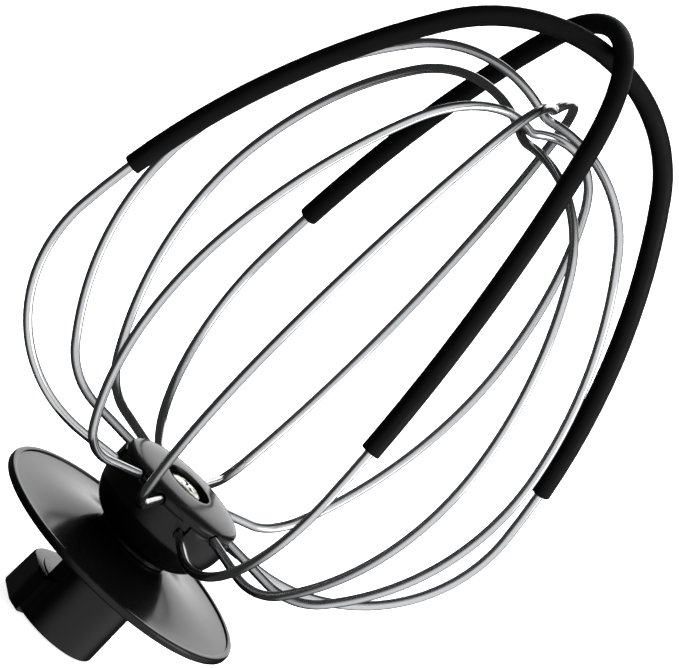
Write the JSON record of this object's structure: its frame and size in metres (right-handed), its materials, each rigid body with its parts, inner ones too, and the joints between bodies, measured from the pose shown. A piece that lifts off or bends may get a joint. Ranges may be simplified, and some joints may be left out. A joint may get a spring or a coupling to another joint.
{
  "type": "balloon whisk",
  "caption": "Balloon whisk attachment for a stand mixer: nested wire loops fan out of a plastic hub with a splash guard and a bayonet drive socket; the outer loops wear soft sleeves.",
  "frame": {"origin": "centre of the drive socket's mouth, on the axis of the drive bore", "axes": "+Z along the whisk's axis from the socket's mouth to the crown of the loops; the lower sleeved loop lies in the XZ plane and the upper one in the YZ plane"},
  "size_m": [0.1184, 0.1184, 0.1706],
  "materials": {
    "hub_plastic": "glossy moulded black",
    "wire_steel": "polished stainless wire",
    "screw_steel": "bright turned steel",
    "sleeve_rubber": "satin black food-grade silicone",
    "insert_brass": "turned"
  },
  "bodies": {
    "root": {"drive_socket": "hub_plastic", "thread_insert": "insert_brass", "splash_guard": "hub_plastic", "hub_bowl": "hub_plastic", "hub_cap": "hub_plastic", "cap_screw": "screw_steel", "lock_washer": "screw_steel", "sleeved_loop_lower": "wire_steel", "sleeved_loop_upper": "wire_steel", "sleeve_lower": "sleeve_rubber", "sleeve_upper": "sleeve_rubber", "bare_loop_1": "wire_steel", "bare_loop_2": "wire_steel", "bare_loop_3": "wire_steel", "bare_loop_4": "wire_steel"}
  },
  "joints": []
}
